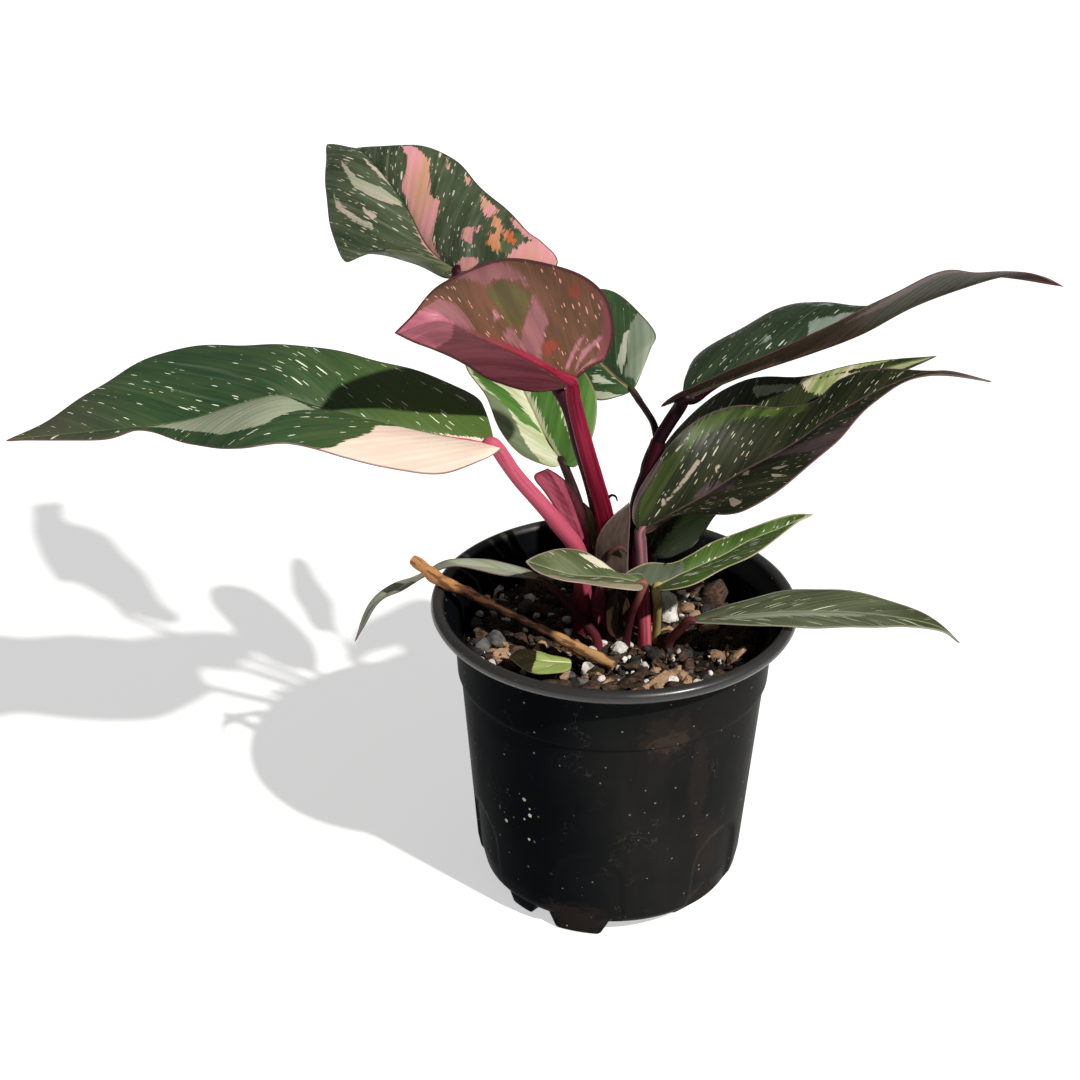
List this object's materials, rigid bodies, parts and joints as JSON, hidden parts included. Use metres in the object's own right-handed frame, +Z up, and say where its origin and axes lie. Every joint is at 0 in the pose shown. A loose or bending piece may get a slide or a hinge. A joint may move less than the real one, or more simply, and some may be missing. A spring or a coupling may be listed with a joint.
{
  "type": "pink princess philodendron",
  "caption": "Young variegated philodendron with long pointed leaves on arching stalks, some pink, growing from bark mix in a round black nursery pot.",
  "frame": {"origin": "on the ground under the middle of the pot", "axes": "+Z up along the pot's axis; +X to the right and -Y towards the front, with the longest leaf reaching to -X"},
  "size_m": [0.3291, 0.1822, 0.2303],
  "materials": {
    "pot_plastic": "satin black moulded plastic, dusty",
    "potting_mix": "loose chips of bark, charcoal and white perlite, matte",
    "leaf_green": "smooth waxy leaf, green with cream streaks",
    "leaf_light": "smooth waxy leaf, green and cream",
    "leaf_dark": "smooth waxy leaf, dark green with white flecks",
    "leaf_pink": "smooth waxy leaf, maroon and pink underside",
    "stalk_pink": "smooth fleshy stalk, pink",
    "stalk_crimson": "smooth fleshy stalk, crimson",
    "stalk_maroon": "smooth fleshy stalk, dark maroon",
    "stalk_red": "smooth fleshy stalk, dull red",
    "stalk_olive": "smooth fleshy stalk, olive yellow",
    "dry_sheath": "drying sheath, grey brown, matte",
    "dry_wood": "dry knobbly stick, tan and brown, matte"
  },
  "bodies": {
    "root": {"pot": "pot_plastic", "soil_mix": "potting_mix", "main_stem": "stalk_maroon", "blade_top": "leaf_green", "stalk_top": "stalk_maroon", "blade_cupped": "leaf_pink", "stalk_cupped": "stalk_crimson", "blade_left_long": "leaf_green", "stalk_left_long": "stalk_pink", "blade_back_left": "leaf_light", "stalk_back_left": "stalk_maroon", "blade_back_right": "leaf_light", "stalk_back_right": "stalk_maroon", "blade_upper_right": "leaf_dark", "stalk_upper_right": "stalk_maroon", "blade_middle_right": "leaf_dark", "stalk_middle_right": "stalk_pink", "blade_behind_right": "leaf_dark", "stalk_behind_right": "stalk_maroon", "blade_low_centre": "leaf_light", "stalk_low_centre": "stalk_red", "blade_low_right_short": "leaf_light", "stalk_low_right_short": "stalk_olive", "blade_low_right_long": "leaf_green", "stalk_low_right_long": "stalk_red", "blade_low_left": "leaf_green", "stalk_low_left": "stalk_red", "sheath_pink": "stalk_pink", "sheath_grey": "dry_sheath", "dry_stick": "dry_wood", "leaf_fragment": "leaf_light"}
  },
  "joints": []
}
